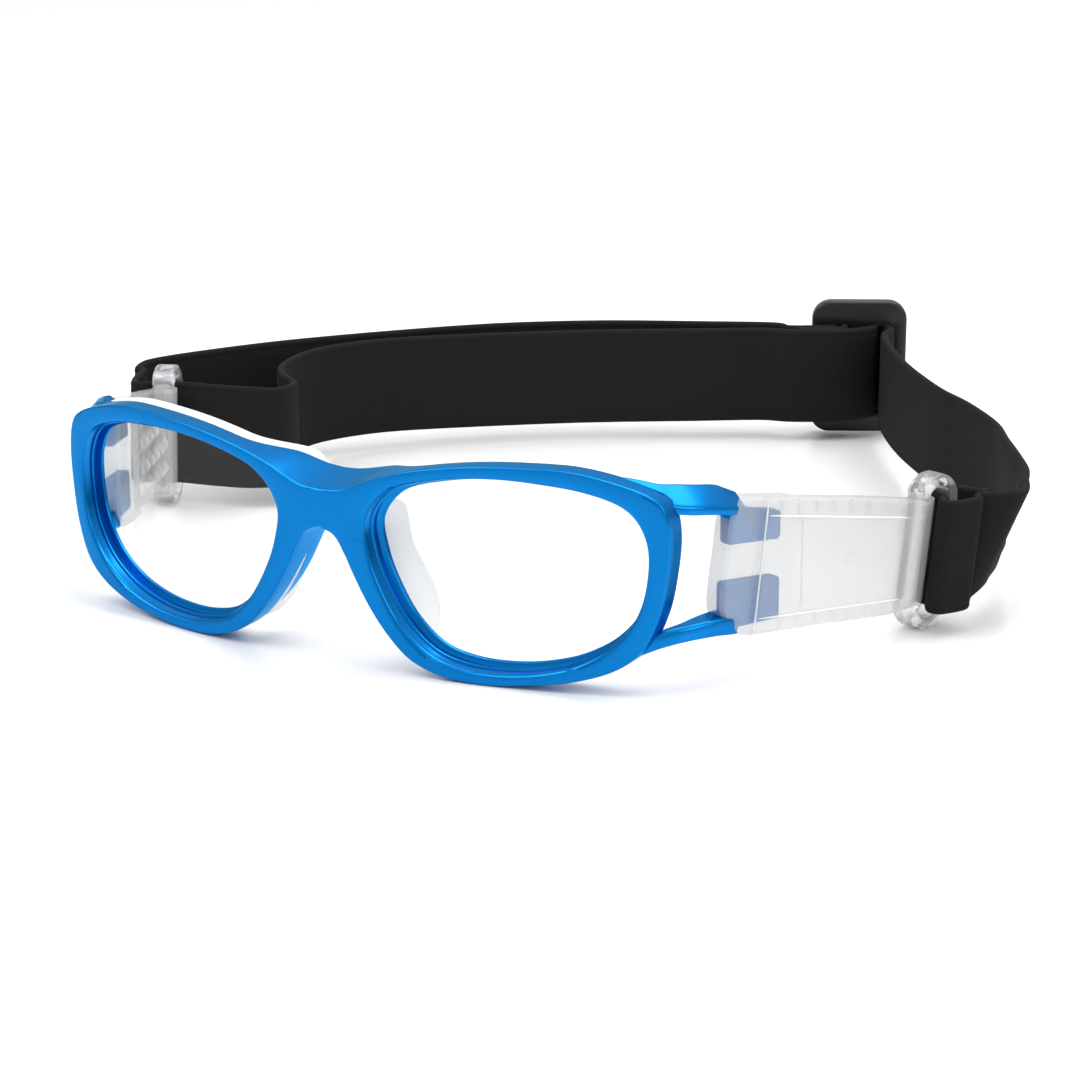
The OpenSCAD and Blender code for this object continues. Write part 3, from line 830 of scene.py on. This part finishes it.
def build_strap():
    """The webbing: one long strip from the left loop through the tri-glide to the right ring, and one short
    strip from there back to the sewn end, each cut into pieces that follow their own bodies."""
    loop, turn = by_temple(LOOP_LEFT, 1, RISE_LEFT, LEAN_LEFT), TURN
    run, weave = upright(SINGLE), by_glide(WEAVE)
    outer, far = upright(OUTER_LAYER[::-1]), by_temple(LOOP_RIGHT[:7], -1)
    long = web_strip(loop + turn + run + weave + outer + far)
    a = len(loop) - 1
    b = a + len(turn) + 3
    c = a + len(turn) + len(run) + 1
    d = c + len(weave) - 1
    e = d + 6
    f = d + len(outer)
    g = f + len(far)

    piece = web_piece("strap_stitched_loop", long, 0, a, "strap_loop_left")
    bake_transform(piece)
    piece = web_piece("strap_near_run", long, a, b, "strap_single")
    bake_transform(piece)
    piece = web_piece("strap_near_end", long, b, c, "strap_single")
    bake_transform(piece)
    piece = web_piece("strap_woven_run", long, c, d, "strap_weave")
    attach(piece, "slider")
    piece = web_piece("strap_outer_end", long, d, e, "strap_outer_layer")
    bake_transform(piece)
    piece = web_piece("strap_outer_run", long, e, f, "strap_outer_layer")
    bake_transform(piece)
    piece = web_piece("strap_far_loop_outside", long, f, g, "strap_loop_right")
    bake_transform(piece)

    near, layer, sewn = by_temple(LOOP_RIGHT[6:], -1), upright(INNER_LAYER), by_glide(SEWN)
    short = web_strip(near + layer + sewn)
    a = len(near) - 1
    b = a + 9
    c = a + len(layer) + 1
    piece = web_piece("strap_far_loop_inside", short, 0, a, "strap_loop_right")
    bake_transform(piece)
    piece = web_piece("strap_inner_run", short, a, b, "strap_inner_layer")
    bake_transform(piece)
    piece = web_piece("strap_inner_end", short, b, c, "strap_inner_layer")
    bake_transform(piece)
    piece = web_piece("strap_sewn_run", short, c, a + len(layer) + len(sewn), "strap_sewn_end")
    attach(piece, "slider")


STITCHES = 11
STITCH_PITCH = 1.68
STITCH_LOWEST = -8.4                         # from the middle of the webbing
STITCH_HALF = 0.6                            # half of a stitch's length
# Points along a stitch, as a share of that half, and its radius there.
STITCH = [(-1.0, 0.06), (-0.75, 0.11), (0.0, 0.13), (0.75, 0.11), (1.0, 0.06)]


def stitches(name, place, body, node):
    """A column of short stitches; place gives the point at (out, along, up)."""
    parts = []
    for k in range(STITCHES):
        up = STITCH_LOWEST + STITCH_PITCH * k
        loops = []
        for a, r in STITCH:
            loops.append([place(r * math.cos(b), a * STITCH_HALF, up + r * math.sin(b))
                          for b in (j * math.pi / 4 for j in range(8))])
        parts.append(tube(loops))
    obj = joined(name, parts, THREAD)
    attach(obj, body)
    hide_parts(node)


def by_left_loop(a, b, c):
    """A point at the seam of the left loop: out from the webbing, along it and up."""
    return ring_point(5.9 + b, 7.95 + a, c, 1)


def by_sewn_end(a, b, c):
    """A point at the seam of the sewn end: out from the webbing, along it and up."""
    return glide_point(-11.4 + b, -7.6 + a, WEB_MIDDLE + c)


def build_stitches():
    """The seams of the left loop and of the sewn end."""
    stitches("seam_stitches_left", by_left_loop, "ring_left", "loop_stitching")
    stitches("seam_stitches_slider", by_sewn_end, "slider", "slider_stitching")


# ---- tri-glide ----

SLOT_WIDTH, SLOT_HEIGHT, SLOT_AT = 5.1, 18.8, 4.45   # the two slots, and their distance from the middle
SLOT_DROP = 0.7
GLIDE_TALLER = 1.2                           # how much taller the plate is than in the CAD model
GLIDE_LIFT = 1.1


def build_glide():
    """The tri-glide: a bevelled plate with two slots."""
    bevel = 0.7
    c = bpy.data.curves.new("tri_glide_outline", "CURVE")
    c.dimensions = "2D"
    c.fill_mode = "BOTH"
    c.extrude = (GLIDE_THICKNESS / 2 - bevel) * MM
    c.bevel_depth = bevel * MM
    c.bevel_resolution = 3
    c.offset = -bevel * MM

    def ring(points):
        spline = c.splines.new("POLY")
        spline.points.add(len(points) - 1)
        for p, (x, y) in zip(spline.points, points):
            p.co = (x * MM, y * MM, 0, 1)
        spline.use_cyclic_u = True

    ring(rounded(GLIDE_WIDTH, GLIDE_HEIGHT + GLIDE_TALLER, 4, 10))
    for middle in (-SLOT_AT, SLOT_AT):
        ring([(middle + x, y - SLOT_DROP) for x, y in rounded(SLOT_WIDTH, SLOT_HEIGHT, 1.0, 6)][::-1])
    shape = bpy.data.objects.new("tri_glide_outline", c)
    bpy.context.scene.collection.objects.link(shape)
    bpy.context.view_layer.update()
    mesh = bpy.data.meshes.new_from_object(shape.evaluated_get(bpy.context.evaluated_depsgraph_get()))
    bpy.data.objects.remove(shape)
    x, y, _ = row(GLIDE_CENTRE[0], GLIDE_CENTRE[1], 0)
    middle = (GLIDE_HEIGHT / 2 + GLIDE_LIFT) * MM
    mesh.transform(Matrix.Translation((x, y, middle)) @ Matrix.Rotation(GLIDE_ANGLE, 4, "Z")
                   @ Matrix.Rotation(math.pi / 2, 4, "X"))
    obj = bpy.data.objects.new("tri_glide_plate", mesh)
    bpy.context.scene.collection.objects.link(obj)
    recalc(mesh)
    mesh.shade_smooth()
    mesh.set_sharp_from_angle(angle=math.radians(40))
    mesh.materials.clear()
    mesh.materials.append(BLACK)
    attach(obj, "slider")
    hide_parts("tri_glide")


# ---- stage ----

FLOOR_HALF = 3.0
# Lamps: name, place, size, power; all point at the goggles.
LAMPS = [("key", (-0.5, -0.5, 0.9), 0.6, 4.0), ("top", (0.2, 0.3, 1.1), 0.9, 9.0),
         ("side", (1.1, -0.1, 0.5), 0.5, 2.5)]


def build_stage():
    """A pale floor, a white surround that is brighter above, and soft lamps."""
    floor_mesh = bpy.data.meshes.new("floor")
    s = FLOOR_HALF
    floor_mesh.from_pydata([(-s, -s, 0), (s, -s, 0), (s, s, 0), (-s, s, 0)], [], [(0, 1, 2, 3)])
    floor = bpy.data.objects.new("floor", floor_mesh)
    bpy.context.scene.collection.objects.link(floor)
    floor.location.z = -0.0001
    floor_mesh.materials.append(principled("floor_white", (0.9, 0.9, 0.9), 0.18, Specular_IOR_Level=0.45))

    world = bpy.data.worlds.new("studio")
    bpy.context.scene.world = world
    world.use_nodes = True
    nodes, links = world.node_tree.nodes, world.node_tree.links
    direction = nodes.new("ShaderNodeTexCoord")
    parts = nodes.new("ShaderNodeSeparateXYZ")
    glow = nodes.new("ShaderNodeMapRange")
    glow.inputs["From Min"].default_value = 0.0
    glow.inputs["From Max"].default_value = 0.8
    glow.inputs["To Min"].default_value = 0.5
    glow.inputs["To Max"].default_value = 1.15
    links.new(direction.outputs["Generated"], parts.inputs[0])
    links.new(parts.outputs["Z"], glow.inputs["Value"])
    links.new(glow.outputs["Result"], nodes["Background"].inputs["Strength"])
    nodes["Background"].inputs["Color"].default_value = (1, 1, 1, 1)

    for name, place, size, power in LAMPS:
        lamp = bpy.data.lights.new(name, "AREA")
        lamp.size = size
        lamp.energy = power
        obj = bpy.data.objects.new(name, lamp)
        obj.location = place
        obj.rotation_euler = (-Vector(place)).to_track_quat("-Z", "Y").to_euler()
        bpy.context.scene.collection.objects.link(obj)


def build_camera():
    """A long lens in front of the goggles and to their left, looking slightly down."""
    data = bpy.data.cameras.new("camera")
    data.sensor_width = 36
    data.lens = 104.2
    data.clip_start, data.clip_end = 0.01, 20
    cam = bpy.data.objects.new("camera", data)
    cam.location = row(279.2, -418.5, 170.9)
    cam.rotation_euler = (math.radians(90 - 16.68), 0, math.radians(29.44))
    bpy.context.scene.collection.objects.link(cam)
    bpy.context.scene.camera = cam
    bpy.context.scene.view_settings.view_transform = "Standard"


build_camera()
build_frame()
build_lenses()
build_soft_trim()
for one_side, one_word in ((1, "left"), (-1, "right")):
    build_temple(one_side, one_word)
    build_temple_edges(one_side, one_word)
    build_ring(one_side, one_word)
build_strap()
build_stitches()
build_glide()
build_stage()
